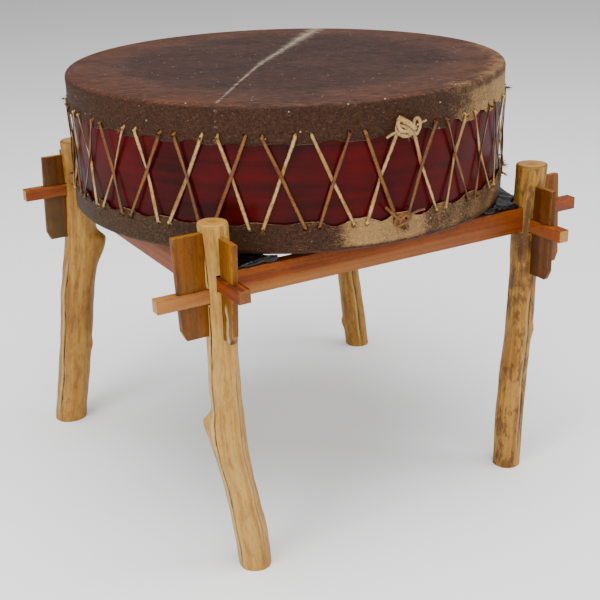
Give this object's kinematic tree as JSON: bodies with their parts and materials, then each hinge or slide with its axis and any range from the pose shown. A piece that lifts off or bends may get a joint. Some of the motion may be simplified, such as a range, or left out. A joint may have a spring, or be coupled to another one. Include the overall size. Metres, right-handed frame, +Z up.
{
  "type": "ceremonial dance drum on a log stand",
  "caption": "Wide round double-headed drum with hair-on hides, laced in crosses over a red wooden shell, resting on straps in a wedged stand of peeled logs.",
  "frame": {"origin": "on the floor under the middle of the stand's own box", "axes": "+Z up; the four rails run along X and Y, and the knots of the lacing face -Y"},
  "size_m": [0.7624, 0.76, 0.711],
  "materials": {
    "stained_shell": "glossy dark red stain over horizontal grain",
    "top_hide": "dark brown hide with short combed hair, tan towards one side",
    "bottom_hide": "grey-brown hide with short hair and lighter patches",
    "lace_light": "pale stiff rawhide thong",
    "lace_dark": "brown stiff rawhide thong",
    "peeled_log": "peeled, lightly sealed log with cracks and knots",
    "rail_board": "planed orange-brown board, satin",
    "wedge_board": "brown board, satin",
    "black_strap": "folded black band with a slight gloss"
  },
  "bodies": {
    "root": {"drum_shell": "stained_shell", "top_hide": "top_hide", "bottom_hide": "bottom_hide", "lace_light": "lace_light", "lace_dark": "lace_dark", "leg_front": "peeled_log", "leg_right": "peeled_log", "leg_back": "peeled_log", "leg_left": "peeled_log", "rail_front": "rail_board", "rail_right": "rail_board", "rail_back": "rail_board", "rail_left": "rail_board", "wedge_front_start": "wedge_board", "wedge_front_end": "wedge_board", "wedge_right_start": "wedge_board", "wedge_right_end": "wedge_board", "wedge_back_start": "wedge_board", "wedge_back_end": "wedge_board", "wedge_left_start": "wedge_board", "wedge_left_end": "wedge_board", "strap_front": "black_strap", "strap_right": "black_strap", "strap_back": "black_strap", "strap_left": "black_strap"}
  },
  "joints": []
}
